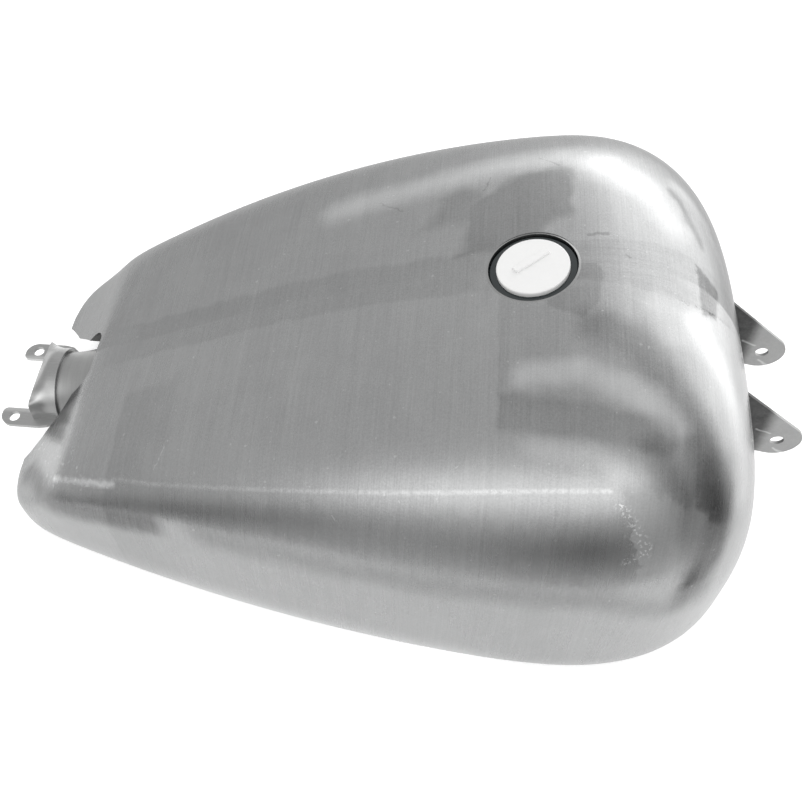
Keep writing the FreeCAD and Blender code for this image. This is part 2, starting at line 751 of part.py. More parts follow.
BORE_R = 16.2
STEM_R = 3.0
body = turned([(PLUG_R, Z_WASH), (RECESS_R - 0.3, Z_WASH), (RECESS_R - 0.3, Z_FLANGE - 0.8), (RECESS_R - 1.1, Z_FLANGE),
               (KNOB_R + 0.35, Z_FLANGE), (KNOB_R + 0.35, Z_KNOB0), (BORE_R, Z_KNOB0), (BORE_R, Z_BORE),
               (STEM_R + 0.06, Z_BORE), (STEM_R + 0.06, Z_PLUG), (PLUG_R - 1.0, Z_PLUG), (PLUG_R, Z_PLUG + 1.0)])
VX = 12.0               # vent valve's distance from the cap axis
vent_hole = Part.makeCylinder(2.2, 30, V(VX, 0, -40))
body = body.cut(Part.makeCylinder(2.2, 8, V(VX, 0, Z_PLUG - 1)))
PARTS["cap_body"] = at_cap(one(body))

# knob: disc with a low finger rib, and a guide skirt that hides the spring
skirt_o, skirt_i = BORE_R - 0.06, 13.6
knob = turned([(0, KNOB_TOP), (KNOB_R - 0.9, KNOB_TOP), (KNOB_R - 0.25, KNOB_TOP - 0.25), (KNOB_R, KNOB_TOP - 0.9),
               (KNOB_R, Z_KNOB0 + 0.3), (skirt_o, Z_KNOB0 + 0.3), (skirt_o, Z_BORE + 0.9), (skirt_i, Z_BORE + 0.9),
               (skirt_i, Z_KNOB0 + 0.9), (0, Z_KNOB0 + 0.9)])
RIB_L, RIB_W, RIB_H = 27.0, 5.4, 1.7
RIB_A = 36.0
rp = [V(-RIB_L / 2, -RIB_W / 2, 0), V(RIB_L / 2, -RIB_W / 2, 0), V(RIB_L / 2 - 1.2, RIB_W / 2, 0), V(-RIB_L / 2 - 1.2, RIB_W / 2, 0)]
rib = Part.Face(Part.makePolygon(rp + [rp[0]])).extrude(V(0, 0, RIB_H + 0.6))
rib = rib.makeFillet(1.0, [e for e in rib.Edges if abs(e.Vertexes[0].Z - e.Vertexes[1].Z) > 1])
rib = rib.makeChamfer(0.6, [e for e in rib.Edges if min(v.Z for v in e.Vertexes) > RIB_H + 0.5])
rib.rotate(V(0, 0, 0), V(0, 0, 1), RIB_A)
rib.translate(V(-0.6, 4.2, KNOB_TOP - 0.6))
knob = knob.fuse(rib)
PARTS["cap_knob"] = at_cap(one(knob.removeSplitter()))

# stem with its groove, clip, spring
stem = turned([(0, Z_KNOB0 + 0.9), (6.0, Z_KNOB0 + 0.9), (6.0, Z_KNOB0 - 0.3), (STEM_R, Z_KNOB0 - 0.3), (STEM_R, -30.0),
               (STEM_R - 0.6, -30.0), (STEM_R - 0.6, -30.8), (STEM_R, -30.8), (STEM_R, Z_STEM), (0, Z_STEM)])
PARTS["knob_stem"] = at_cap(stem)
clip = turned([(STEM_R - 0.6, -30.8), (6.0, -30.8), (6.0, -30.0), (STEM_R - 0.6, -30.0)])
clip = clip.cut(box(1.0, 8, -1.4, 1.4, -32, -29))
PARTS["stem_clip"] = at_cap(one(clip))


def washers(r_in, r_out, t, z0, z1, n):
    """stack of n conical spring washers joined at their rims, t thick"""
    h = (z1 - z0) / n
    a = 0.5 * t * math.hypot(h, r_out - r_in) / h
    rs = [(r_in if k % 2 == 0 else r_out, z0 + k * h) for k in range(n + 1)]
    return turned([(r + a, z) for r, z in rs] + [(r - a, z) for r, z in reversed(rs)])


spring = washers(8.2, 11.4, 0.5, Z_BORE, Z_KNOB0 + 0.9, 8)
PARTS["knob_spring"] = at_cap(spring)

# vent valve under the plug
vd = turned([(0, Z_PLUG), (3.6, Z_PLUG), (3.6, Z_PLUG - 1.0), (1.0, Z_PLUG - 1.0), (1.0, Z_PLUG - 2.2), (0, Z_PLUG - 2.2)])
vd.translate(V(VX, 0, 0))
PARTS["vent_disc"] = at_cap(vd)
vc = turned([(4.2, Z_PLUG), (5.4, Z_PLUG), (5.4, Z_PLUG - 7.0), (1.5, Z_PLUG - 7.0), (1.5, Z_PLUG - 6.0), (4.2, Z_PLUG - 6.0)])
vc.translate(V(VX, 0, 0))
PARTS["vent_cage"] = at_cap(vc)
vs = washers(1.9, 3.2, 0.25, Z_PLUG - 6.0, Z_PLUG - 1.0, 6)
vs.translate(V(VX, 0, 0))
PARTS["vent_spring"] = at_cap(vs)

# ---------------------------------------------------------------------------
# fittings underneath
# ---------------------------------------------------------------------------
bung = turned_xy([(BUNG_R, 38.0), (BUNG_OUT - 1, 38.0), (BUNG_OUT, 39.0), (BUNG_OUT, WELL_TOP), (BUNG_OUT + 4, WELL_TOP),
                  (BUNG_OUT + 4, WELL_TOP + 2.0), (BUNG_R, WELL_TOP + 2.0)], *VALVE_XY)
PARTS["fuel_valve_bung"] = bung


def nipple(x, y, top):
    return turned_xy([(NIP_IN, 35.0), (NIP_R - 0.6, 35.0), (NIP_R, 35.6), (NIP_R, WELL_TOP - 2.5),
                      (NIP_FIT, WELL_TOP - 2.5), (NIP_FIT, WELL_TOP), (NIP_R + 4.0, WELL_TOP),
                      (NIP_R + 4.0, WELL_TOP + 1.6), (NIP_FIT, WELL_TOP + 1.6), (NIP_FIT, top), (NIP_IN, top)], x, y)


PARTS["crossover_nipple_left"] = nipple(CROSS_XY[0], CROSS_XY[1], WELL_TOP + 4.0)
PARTS["crossover_nipple_right"] = nipple(CROSS_XY[0], -CROSS_XY[1], WELL_TOP + 4.0)
vt = nipple(VENT_XY[0], VENT_XY[1], 216.0)
slant = Part.Face(Part.makePolygon([V(VENT_XY[0] - 10, 0, 206), V(VENT_XY[0] + 10, 0, 222), V(VENT_XY[0] - 10, 0, 222), V(VENT_XY[0] - 10, 0, 206)])).extrude(V(0, -200, 0))
PARTS["vent_tube"] = one(vt.cut(slant))

# ---------------------------------------------------------------------------
# fuel space (for the stated volume only)
# ---------------------------------------------------------------------------
fuel = INN_R.cut(T_OUT).cut(F_OUT).cut(BELOW_P)
print("fuel space, litres:", round(2 * fuel.Volume / 1e6, 2))

# ---------------------------------------------------------------------------
# shift to the hand-over frame and write
# ---------------------------------------------------------------------------
xmin = min(s.BoundBox.XMin for s in (PARTS["rear_bracket"], PARTS["shell_right"]))
xmax = max(s.BoundBox.XMax for s in (PARTS["front_tab_right"], PARTS["shell_right"]))
X_MIN = EAR_X[0]
X_MAX = TAB_HOLE[0] + TAB_TIP_R
SHIFT = V(-(X_MIN + X_MAX) / 2.0, 0, -Z_FLOOR)
print("x range", round(xmin, 3), round(xmax, 3), "used", X_MIN, X_MAX, "shift", SHIFT)
c = CAP_O + SHIFT
print("cap centre", [round(v, 4) for v in (c.x, c.y, c.z)], "axis", [round(v, 6) for v in (CAP_AXIS.x, CAP_AXIS.y, CAP_AXIS.z)], "tilt", math.degrees(TILT))
for name in sorted(PARTS):
    s = PARTS[name].copy()
    s.translate(SHIFT)
    ok = s.isValid() and len(s.Solids) == 1
    print("%-24s valid %s solids %d faces %d vol %.1f mm3" % (name, ok, len(s.Solids), len(s.Faces), s.Volume))
    s.exportStep("parts/" + name + ".step")
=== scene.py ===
import math

import bpy
import numpy as np
from mathutils import Matrix, Vector

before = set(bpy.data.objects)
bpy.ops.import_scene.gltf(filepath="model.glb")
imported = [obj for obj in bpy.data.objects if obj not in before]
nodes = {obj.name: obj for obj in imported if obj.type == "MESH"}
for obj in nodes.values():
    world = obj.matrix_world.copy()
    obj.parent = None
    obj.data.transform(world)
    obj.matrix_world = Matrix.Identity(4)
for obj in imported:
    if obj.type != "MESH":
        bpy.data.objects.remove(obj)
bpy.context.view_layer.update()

# ---------------------------------------------------------------------------
# camera
# ---------------------------------------------------------------------------
scene = bpy.context.scene
scene.view_settings.view_transform = "Standard"
scene.view_settings.look = "None"
cam = bpy.data.cameras.new("camera")
cam.sensor_width = 36.0
cam.lens = 42.43
cam.clip_start = 0.05
cam.clip_end = 60.0
R = Vector((0.996608, 0.082271, -0.001940))
U = Vector((-0.066370, 0.817488, 0.572109))
F = Vector((-0.048654, 0.570039, -0.820176))
P = Vector((0.05077, -0.43621, 0.68484))
camera = bpy.data.objects.new("camera", cam)
scene.collection.objects.link(camera)
camera.matrix_world = Matrix((
    (R.x, U.x, -F.x, P.x),
    (R.y, U.y, -F.y, P.y),
    (R.z, U.z, -F.z, P.z),
    (0, 0, 0, 1)))
scene.camera = camera


# ---------------------------------------------------------------------------
# small node helpers
# ---------------------------------------------------------------------------
class Tree:
    def __init__(self, tree):
        self.t = tree
        self.n = tree.nodes
        self.l = tree.links

    def put(self, node, socket, value):
        s = node.inputs[socket]
        if isinstance(value, bpy.types.NodeSocket):
            self.l.new(value, s)
        elif value is not None:
            s.default_value = value

    def math(self, op, a, b=None, c=None, clamp=False):
        m = self.n.new("ShaderNodeMath")
        m.operation = op
        m.use_clamp = clamp
        self.put(m, 0, a)
        if b is not None:
            self.put(m, 1, b)
        if c is not None:
            self.put(m, 2, c)
        return m.outputs[0]

    def vec(self, op, a, b=None, scale=None):
        m = self.n.new("ShaderNodeVectorMath")
        m.operation = op
        self.put(m, 0, a)
        if b is not None:
            self.put(m, 1, b)
        if scale is not None:
            self.put(m, "Scale", scale)
        return m.outputs["Value"] if op in ("DOT_PRODUCT", "LENGTH", "DISTANCE") else m.outputs[0]

    def noise(self, vector, scale, detail=3.0, rough=0.55, distortion=0.0):
        m = self.n.new("ShaderNodeTexNoise")
        self.put(m, "Vector", vector)
        m.inputs["Scale"].default_value = scale
        m.inputs["Detail"].default_value = detail
        m.inputs["Roughness"].default_value = rough
        m.inputs["Distortion"].default_value = distortion
        return m.outputs[0]

    def ramp(self, x, lo, hi, a=0.0, b=1.0, smooth=True):
        m = self.n.new("ShaderNodeMapRange")
        m.interpolation_type = "SMOOTHSTEP" if smooth else "LINEAR"
        self.put(m, "Value", x)
        m.inputs["From Min"].default_value = lo
        m.inputs["From Max"].default_value = hi
        m.inputs["To Min"].default_value = a
        m.inputs["To Max"].default_value = b
        return m.outputs[0]

    def comb(self, x, y, z):
        m = self.n.new("ShaderNodeCombineXYZ")
        for i, v in enumerate((x, y, z)):
            self.put(m, i, v)
        return m.outputs[0]

    def split(self, v):
        m = self.n.new("ShaderNodeSeparateXYZ")
        self.put(m, 0, v)
        return m.outputs


# ---------------------------------------------------------------------------
# soft studio light: a pale room with broad panels, and a pale floor
# ---------------------------------------------------------------------------
PANELS = (
    # elevation, azimuth (0 = -Y, 90 = +X), tightness, strength
    (43.5, -31.3, 17.7, 1.17),
    (23.5, 161.1, 15.5, 1.93),
    (-6.7, 87.3, 5.8, -0.90),
    (-7.8, 11.0, 11.9, -0.60),
    (-3.3, -51.6, 14.1, -0.54),
    (45.0, 15.6, 18.6, 1.32),
    (-2.8, 124.7, 7.1, 1.87),
    (-51.8, 176.6, 7.0, 2.87),
)
world = bpy.data.worlds.new("studio")
scene.world = world
world.use_nodes = True
w = Tree(world.node_tree)
w.n.clear()
geo = w.n.new("ShaderNodeTexCoord")
direction = w.vec("NORMALIZE", geo.outputs["Generated"])
total = None
for el, az, k, amp in PANELS:
    e, a = math.radians(el), math.radians(az)
    d = (math.cos(e) * math.sin(a), -math.cos(e) * math.cos(a), math.sin(e))
    dot = w.vec("DOT_PRODUCT", direction, d)
    v = w.math("MULTIPLY_ADD", dot, k, -k)
    v = w.math("MULTIPLY", w.math("EXPONENT", v), amp)
    total = v if total is None else w.math("ADD", total, v)
total = w.math("MAXIMUM", w.math("ADD", total, 0.80), 0.05)
bg = w.n.new("ShaderNodeBackground")
bg.inputs["Color"].default_value = (1, 1, 1, 1)
w.put(bg, "Strength", total)
plain = w.n.new("ShaderNodeBackground")
plain.inputs["Color"].default_value = (1.0, 1.0, 1.0, 1)
plain.inputs["Strength"].default_value = 1.0
lp = w.n.new("ShaderNodeLightPath")
mix = w.n.new("ShaderNodeMixShader")
w.l.new(lp.outputs["Is Camera Ray"], mix.inputs[0])
w.l.new(bg.outputs[0], mix.inputs[1])
w.l.new(plain.outputs[0], mix.inputs[2])
out = w.n.new("ShaderNodeOutputWorld")
w.l.new(mix.outputs[0], out.inputs["Surface"])


def new_material(name):
    m = bpy.data.materials.new(name)
    m.use_nodes = True
    t = Tree(m.node_tree)
    t.n.clear()
    b = t.n.new("ShaderNodeBsdfPrincipled")
    o = t.n.new("ShaderNodeOutputMaterial")
    t.l.new(b.outputs[0], o.inputs["Surface"])
    return m, t, b



def object_point(t):
    return t.n.new("ShaderNodeTexCoord").outputs["Object"]


def seg(t, p, a, b):
    """distance from the point to the segment a-b"""
    ab = [b[i] - a[i] for i in range(3)]
    q = sum(v * v for v in ab)
    d = t.vec("SUBTRACT", p, tuple(a))
    k = t.math("MULTIPLY", t.vec("DOT_PRODUCT", d, tuple(ab)), 1.0 / q, clamp=True)
    return t.vec("LENGTH", t.vec("SUBTRACT", d, t.vec("SCALE", tuple(ab), scale=k)))


def stroke(t, p, pts, half, soft):
    d = None
    for a, b in zip(pts[:-1], pts[1:]):
        e = seg(t, p, a, b)
        d = e if d is None else t.math("MINIMUM", d, e)
    return t.ramp(d, max(half - soft, 0.0), half + soft, 1.0, 0.0)


def patch(t, p, pts, soft):
    """inside of a convex outline in plan, corners listed counter-clockwise"""
    d = None
    n = len(pts)
    for k in range(n):
        (x0, y0), (x1, y1) = pts[k], pts[(k + 1) % n]
        nx, ny = y1 - y0, -(x1 - x0)
        m = math.hypot(nx, ny)
        nx, ny = nx / m, ny / m
        e = t.math("SUBTRACT", t.vec("DOT_PRODUCT", p, (nx, ny, 0.0)), nx * x0 + ny * y0)
        d = e if d is None else t.math("MAXIMUM", d, e)
    return t.ramp(d, -soft, soft, 1.0, 0.0)


def blob(t, p, c, r, soft):
    """inside of an ellipsoid"""
    q = t.vec("MULTIPLY", t.vec("SUBTRACT", p, tuple(c)), tuple(1.0 / v for v in r))
    return t.ramp(t.vec("LENGTH", q), 1.0 - soft, 1.0 + soft, 1.0, 0.0)


def wobble(t, p, scale, amount):
    m = t.n.new("ShaderNodeTexNoise")
    t.put(m, "Vector", p)
    m.inputs["Scale"].default_value = scale
    m.inputs["Detail"].default_value = 3.0
    c = m.outputs["Color"]
    return t.vec("ADD", p, t.vec("SCALE", t.vec("SUBTRACT", c, (0.5, 0.5, 0.5)), scale=amount))


def grain(t, p, fx, fy, fz, detail=2.0):
    return t.noise(t.vec("MULTIPLY", p, (fx, fy, fz)), 1.0, detail, 0.6)


def add_up(t, terms, start=1.0):
    """start + sum of gain * mask"""
    total = start
    for gain, mask in terms:
        total = t.math("MULTIPLY_ADD", mask, gain, total)
    return total


def centred(t, n):
    return t.math("SUBTRACT", n, 0.5)


def metal(t, b, tone, rough, level, tint=(1.0, 1.008, 1.01), rim=1.0):
    v = t.math("MULTIPLY", t.math("MAXIMUM", tone, 0.1), level)
    t.put(b, "Base Color", t.vec("MULTIPLY", t.comb(v, v, v), tint))
    b.inputs["Metallic"].default_value = 1.0
    b.inputs["Specular Tint"].default_value = (rim, rim, rim, 1)
    t.put(b, "Roughness", rough)


def bump(t, b, height, distance, strength=1.0):
    m = t.n.new("ShaderNodeBump")
    m.inputs["Strength"].default_value = strength
    m.inputs["Distance"].default_value = distance
    t.put(m, "Height", height)
    t.l.new(m.outputs[0], b.inputs["Normal"])


# ---------------------------------------------------------------------------
# floor: a pale sheet under the tank
# ---------------------------------------------------------------------------
floor_mat, t, b = new_material("floor_pale")
b.inputs["Base Color"].default_value = (0.92, 0.92, 0.92, 1)
b.inputs["Roughness"].default_value = 0.9
b.inputs["Specular IOR Level"].default_value = 0.1
b.inputs["Emission Color"].default_value = (1.0, 1.0, 1.0, 1)
b.inputs["Emission Strength"].default_value = 0.42
me = bpy.data.meshes.new("floor")
FX, FY, FR = (-0.62, 0.62), (-0.36, 0.95), 0.12
ring = []
for cx, cy, a0 in ((FX[1] - FR, FY[0] + FR, -90), (FX[1] - FR, FY[1] - FR, 0), (FX[0] + FR, FY[1] - FR, 90), (FX[0] + FR, FY[0] + FR, 180)):
    for k in range(9):
        a = math.radians(a0 + 90 * k / 8)
        ring.append((cx + FR * math.cos(a), cy + FR * math.sin(a), -0.0006))
me.from_pydata(ring, [], [list(range(len(ring)))])
floor = bpy.data.objects.new("floor", me)
scene.collection.objects.link(floor)
me.materials.append(floor_mat)


# ---------------------------------------------------------------------------
# sanded steel of the shells
# ---------------------------------------------------------------------------
# paths of the tone strokes on the shells, as object points; most of them are painted highlights and painted shade
SHOULDER_HIGHLIGHT = ((-0.1780, -0.1200, 0.1120), (-0.1472, -0.1293, 0.1253), (-0.0935, -0.1402, 0.1466), (-0.0379, -0.1487, 0.1656),
            (0.0257, -0.1551, 0.1835), (0.0850, -0.1573, 0.1972), (0.1194, -0.1573, 0.2032), (0.1480, -0.1563, 0.2052))
REAR_EDGE_HIGHLIGHT = ((-0.2340, -0.1060, 0.0800), (-0.1985, -0.1186, 0.1010), (-0.1795, -0.1236, 0.1100))
REAR_LOW_SHADE = ((-0.2700, -0.0840, 0.0500), (-0.2541, -0.1010, 0.0610), (-0.2171, -0.1290, 0.0772), (-0.1815, -0.1394, 0.0899), (-0.1481, -0.1481, 0.1013))
FAR_HIGHLIGHT = ((-0.0406, 0.0840, 0.1840), (0.0043, 0.0910, 0.1985), (0.0337, 0.0960, 0.2060), (0.0775, 0.1070, 0.2155), (0.1208, 0.1100, 0.2220), (0.1500, 0.1040, 0.2250))
ARC_A_SHADE = ((0.1400, -0.0520, 0.2302), (0.1650, -0.0660, 0.2290), (0.1940, -0.1040, 0.2170), (0.2090, -0.1300, 0.1910),
         (0.2190, -0.1500, 0.1720), (0.2190, -0.1640, 0.1560), (0.2130, -0.1800, 0.1300), (0.2180, -0.1790, 0.0950))
ARC_B_SHADE = ((0.1719, -0.1316, 0.2162), (0.1890, -0.1500, 0.2000), (0.2030, -0.1702, 0.1660), (0.2060, -0.1780, 0.1400))
TRI = ((0.082, -0.112, 0.214), (0.120, -0.117, 0.2200), (0.176, -0.1240, 0.2175))
BRIGHT_HIGHLIGHT = ((0.098, -0.088, 0.220), (0.130, -0.086, 0.224), (0.172, -0.104, 0.223), (0.186, -0.114, 0.216))
BRIGHT_HIGHLIGHT_2 = ((0.1007, -0.1340, 0.2130), (0.1400, -0.1390, 0.2160), (0.1640, -0.1500, 0.2090))
RIM_HIGHLIGHT = ((0.2082, -0.0389, 0.2152), (0.2335, -0.0820, 0.1900), (0.2370, -0.1250, 0.1680))
LOW_SHADE_BAND = ((-0.110, -0.157, 0.112), (0.034, -0.1845, 0.125), (0.1527, -0.193, 0.133), (0.202, -0.186, 0.112))


class Total:
    """running sum, taken mask by mask"""
    def __init__(self, t, start):
        self.t = t
        self.v = start

    def add(self, gain, mask):
        self.v = self.t.math("MULTIPLY_ADD", mask, gain, self.v)
        return mask


def shell_skin(name, right):
    m0, t, b = new_material(name)
    tone = Total(t, 1.0)
    rough = Total(t, 0.27)
    high = Total(t, 0.0)
    p0 = object_point(t)
    for gain, up, rg, v in ((0.22, 1.0, 0.0, (1150.0, 16.0, 16.0, 2.0)), (0.10, 0.9, 0.06, (330.0, 7.0, 7.0, 2.0)), (0.07, 1.2, 0.0, (90.0, 11.0, 11.0, 3.0))):
        m = centred(t, grain(t, p0, *v))
        tone.add(gain, m)
        high.add(up, m)
        if rg:
            rough.add(rg, m)
    m = centred(t, t.noise(p0, 800.0, 2.0, 0.75))
    tone.add(0.40, m)
    high.add(0.8, m)
    m = tone.add(0.15, centred(t, t.noise(p0, 14.0, 4.0, 0.55)))
    rough.add(0.10, m)
    tone.add(0.12, centred(t, t.noise(p0, 60.0, 4.0, 0.6)))
    p = wobble(t, p0, 55.0, 0.009)
    pf = wobble(t, p0, 160.0, 0.005)
    x, y, z = t.split(p)[:3]

    # centre band from the notch to the cap
    m = t.math("MULTIPLY", t.ramp(t.math("ABSOLUTE", y), 0.0155, 0.0205, 1.0, 0.0),
               t.math("MULTIPLY", t.ramp(x, 0.060, 0.080, 1.0, 0.0), t.ramp(x, -0.24, -0.17)))
    tone.add(-0.10, m)
    # ground strip of the centre seam from the cap to the nose
    if right:
        m = patch(t, pf, [(0.128, -0.014), (0.169, -0.0193), (0.198, -0.0215), (0.2204, -0.0175), (0.262, -0.008), (0.262, 0.022), (0.126, 0.024)], 0.0012)
    else:
        m = patch(t, pf, [(0.128, -0.014), (0.262, -0.008), (0.262, 0.022), (0.218, 0.0262), (0.194, 0.0246), (0.148, 0.0265), (0.126, 0.024)], 0.0012)
    tone.add(-0.08, m)
    tone.add(0.22, t.math("MULTIPLY", m, centred(t, grain(t, p0, 22.0, 700.0, 120.0))))
    tone.add(-0.42, patch(t, pf, [(0.2119, -0.024), (0.2235, -0.020), (0.2300, 0.010), (0.2119, 0.0205)], 0.0018))
    if not right:
        # swept blotch behind the cap, with its finger
        pb = wobble(t, p, 28.0, 0.022)
        m = patch(t, pb, [(0.050, 0.020), (0.128, 0.022), (0.1275, 0.049), (0.1428, 0.0644), (0.136, 0.0854), (0.118, 0.0985),
                         (0.102, 0.0965), (0.080, 0.0865), (0.060, 0.066)], 0.0050)
        m = t.math("MAXIMUM", m, t.math("MULTIPLY", patch(t, pb, [(0.026, 0.048), (0.066, 0.050), (0.068, 0.070), (0.056, 0.086), (0.040, 0.082)], 0.008), 0.8))
        tone.add(-0.26, m)
        rough.add(0.05, m)
        # painted highlight bands along the far side and over the far front, and a thin painted dark line of shade
        # along the far front edge
        tone.add(0.46, stroke(t, p, FAR_HIGHLIGHT, 0.006, 0.016))
        tone.add(-0.30, stroke(t, p, ((0.1990, 0.0860, 0.2170), (0.2100, 0.0680, 0.2130), (0.2200, 0.0440, 0.2080)), 0.003, 0.004))
        tone.add(0.34, stroke(t, p, ((0.1450, 0.0930, 0.2260), (0.1800, 0.0800, 0.2235), (0.1980, 0.0480, 0.2215)), 0.011, 0.013))
        tone.add(0.30, stroke(t, p, ((0.2060, 0.0960, 0.2120), (0.2330, 0.0740, 0.2000), (0.2500, 0.0420, 0.1880)), 0.005, 0.009))
        for a, c2, wd in (((0.1055, 0.1120, 0.2190), (0.1200, 0.1004, 0.2235), 0.0006),
                          ((0.0667, 0.0787, 0.2146), (0.0713, 0.0927, 0.2146), 0.0005),
                          ((-0.0090, 0.0824, 0.1929), (0.0084, 0.0700, 0.1990), 0.0005),
                          ((0.1610, 0.0080, 0.2305), (0.1640, 0.0060, 0.2305), 0.0007),
                          ((0.1380, 0.0260, 0.2300), (0.1500, 0.0275, 0.2308), 0.0016)):
            tone.add(-0.25, stroke(t, pf, (a, c2), wd, 0.0007))
    else:
        # change of sanding either side of x = 0.080, on the crown
        m = t.math("MULTIPLY", t.math("MULTIPLY", t.ramp(x, 0.0785, 0.0815), t.ramp(x, 0.12, 0.16, 1.0, 0.0)),
                   t.math("MULTIPLY", t.ramp(y, -0.018, -0.025), t.ramp(y, -0.118, -0.098)))
        tone.add(-0.08, m)
        tone.add(-0.16, patch(t, pf, [(0.106, -0.018), (0.112, -0.036), (0.1323, -0.0459), (0.1425, -0.0321), (0.146, -0.008), (0.138, 0.006)], 0.002))
        # lower edge of the strip: seam line and pits
        m = ((0.169, -0.0199, 0.2297), (0.198, -0.0217, 0.2209), (0.2204, -0.0179, 0.2064), (0.240, -0.0112, 0.186))
        tone.add(-0.12, stroke(t, pf, m, 0.0006, 0.0008))
        tone.add(-0.30, t.math("MULTIPLY", stroke(t, p0, m[1:], 0.0016, 0.001), t.ramp(t.noise(p0, 700.0, 1.0), 0.52, 0.60)))
        tone.add(0.20, patch(t, p, [(0.184, -0.060), (0.200, -0.060), (0.214, -0.030), (0.180, -0.022), (0.168, -0.030)], 0.008))
        # reflections painted on the nose: dark arcs of painted shade, darkest lower down, and bands of painted
        # highlight
        m = tone.add(-0.32, t.math("MULTIPLY", stroke(t, p, ARC_A_SHADE, 0.0130, 0.0100), t.ramp(z, 0.090, 0.140)))
        tone.add(-0.34, t.math("MULTIPLY", m, t.ramp(z, 0.222, 0.195)))
        tone.add(-0.25, stroke(t, p, ARC_B_SHADE, 0.0065, 0.008))
        # a darker triangle that starts at the sanding change at x = 0.080
        tone.add(-0.20, t.math("MULTIPLY", stroke(t, p, TRI, 0.0125, 0.004), t.ramp(x, 0.079, 0.083)))
        # painted highlight bands across the crown ahead of the cap; the first is also made a little glossier
        m = tone.add(0.46, stroke(t, p, BRIGHT_HIGHLIGHT, 0.009, 0.007))
        rough.add(-0.05, m)
        tone.add(0.26, stroke(t, p, BRIGHT_HIGHLIGHT_2, 0.006, 0.006))
        # painted highlight along the near front rim of the nose
        tone.add(0.34, stroke(t, p, RIM_HIGHLIGHT, 0.008, 0.013))
        # painted shade: a dark band along the lower near flank
        tone.add(-0.24, stroke(t, p, LOW_SHADE_BAND, 0.010, 0.012))
        # painted reflection of the floor: lighter along the bottom of the near flank
        tone.add(0.46, t.math("MULTIPLY", t.ramp(z, 0.050, 0.0), t.math("MULTIPLY", t.ramp(x, -0.24, -0.10), t.ramp(x, 0.13, 0.06))))
        # painted highlight along the shoulder crest, broken up by noise, and a painted highlight along the rear edge
        # of the near lobe
        m = t.math("MULTIPLY", stroke(t, p0, SHOULDER_HIGHLIGHT, 0.0013, 0.0013), t.ramp(t.noise(p0, 420.0, 2.0), 0.35, 0.62, 0.35, 1.0))
        tone.add(0.26, m)
        rough.add(-0.05, m)
        tone.add(0.70, stroke(t, pf, REAR_EDGE_HIGHLIGHT, 0.0022, 0.0022))
        # painted shade: a dark band low on the rear of the near lobe
        tone.add(-0.46, stroke(t, p, REAR_LOW_SHADE, 0.009, 0.007))
        # rough ground corner ahead of the jagged edge
        jx, jy, jz = t.split(wobble(t, p0, 150.0, 0.016))[:3]
        m = t.math("MULTIPLY", t.ramp(t.math("SUBTRACT", jx, t.math("MULTIPLY_ADD", jz, -0.35, 0.2285)), -0.0006, 0.0006),
                   t.ramp(jz, 0.150, 0.166))
        m = t.math("MULTIPLY", m, t.ramp(jy, -0.150, -0.158))
        rough.add(0.16, m)
        tone.add(0.14, m)
        tone.add(0.75, t.math("MULTIPLY", t.ramp(t.noise(p0, 520.0, 1.0), 0.56, 0.64),
                              stroke(t, p0, ((0.1555, -0.1625, 0.200), (0.1754, -0.1777, 0.1741), (0.1626, -0.1828, 0.169)), 0.003, 0.003)))
        # rear lobe: duller ahead of x = -0.186, bright specks along two lines near the cut edge
        m = t.math("MULTIPLY", t.math("MULTIPLY", t.ramp(x, -0.1868, -0.1838), t.ramp(x, -0.172, -0.12, 1.0, 0.0)), t.ramp(y, -0.045, -0.055))
        tone.add(-0.10, m)
        m = t.math("MAXIMUM", stroke(t, p, ((-0.276, -0.057, 0.050), (-0.2155, -0.102, 0.0962)), 0.010, 0.006),
                   stroke(t, p, ((-0.2484, -0.0966, 0.068), (-0.1795, -0.1256, 0.1088)), 0.006, 0.005))
        tone.add(0.40, t.math("MULTIPLY", t.ramp(t.noise(p0, 260.0, 2.0, 0.7), 0.60, 0.68), m))
        for a, c2, wd in (((-0.0189, -0.1597, 0.1637), (-0.0109, -0.1671, 0.1577), 0.0004),
                          ((-0.1406, -0.1060, 0.1364), (-0.1455, -0.1203, 0.1303), 0.0004),
                          ((0.0480, -0.0890, 0.2080), (0.0580, -0.0860, 0.2100), 0.0004),
                          ((0.0470, -0.1040, 0.2055), (0.0560, -0.1010, 0.2080), 0.0005),
                          ((-0.0110, -0.1170, 0.1850), (0.0010, -0.1130, 0.1900), 0.0003)):
            tone.add(0.35, stroke(t, pf, (a, c2), wd, 0.0004))
    # painted glints: sparse bright specks scattered in the colour
    tone.add(0.22, t.ramp(t.noise(p0, 330.0, 0.0), 0.83, 0.85))
    # the far shell gets a weaker edge tint, which paints its grazing reflections darker as shade along the far outline
    metal(t, b, tone.v, rough.v, 0.36, rim=0.92 if right else 0.55)
    bump(t, b, high.v, 0.000036)
    return m0


def sheet(name, level, rough0, fx, fy, fz, extra=None, specks=0.18, tint=(1.0, 1.005, 1.0)):
    m, t, b = new_material(name)
    p = object_point(t)
    lines = centred(t, grain(t, p, fx, fy, fz))
    wide = centred(t, grain(t, p, fx * 0.25, fy * 0.4, fz * 0.4))
    speck = centred(t, t.noise(p, 850.0, 2.0, 0.7))
    cloud = centred(t, t.noise(p, 35.0, 4.0, 0.6))
    terms = [(0.18, lines), (0.16, wide), (specks, speck), (0.26, cloud)]
    if extra:
        terms += extra(t, p)
    tone = add_up(t, terms)
    metal(t, b, tone, add_up(t, [(0.14, cloud), (0.10, wide)], rough0), level, tint)
    bump(t, b, add_up(t, [(1.0, lines), (0.8, wide), (0.7, speck)], 0.0), 0.00002)
    return m


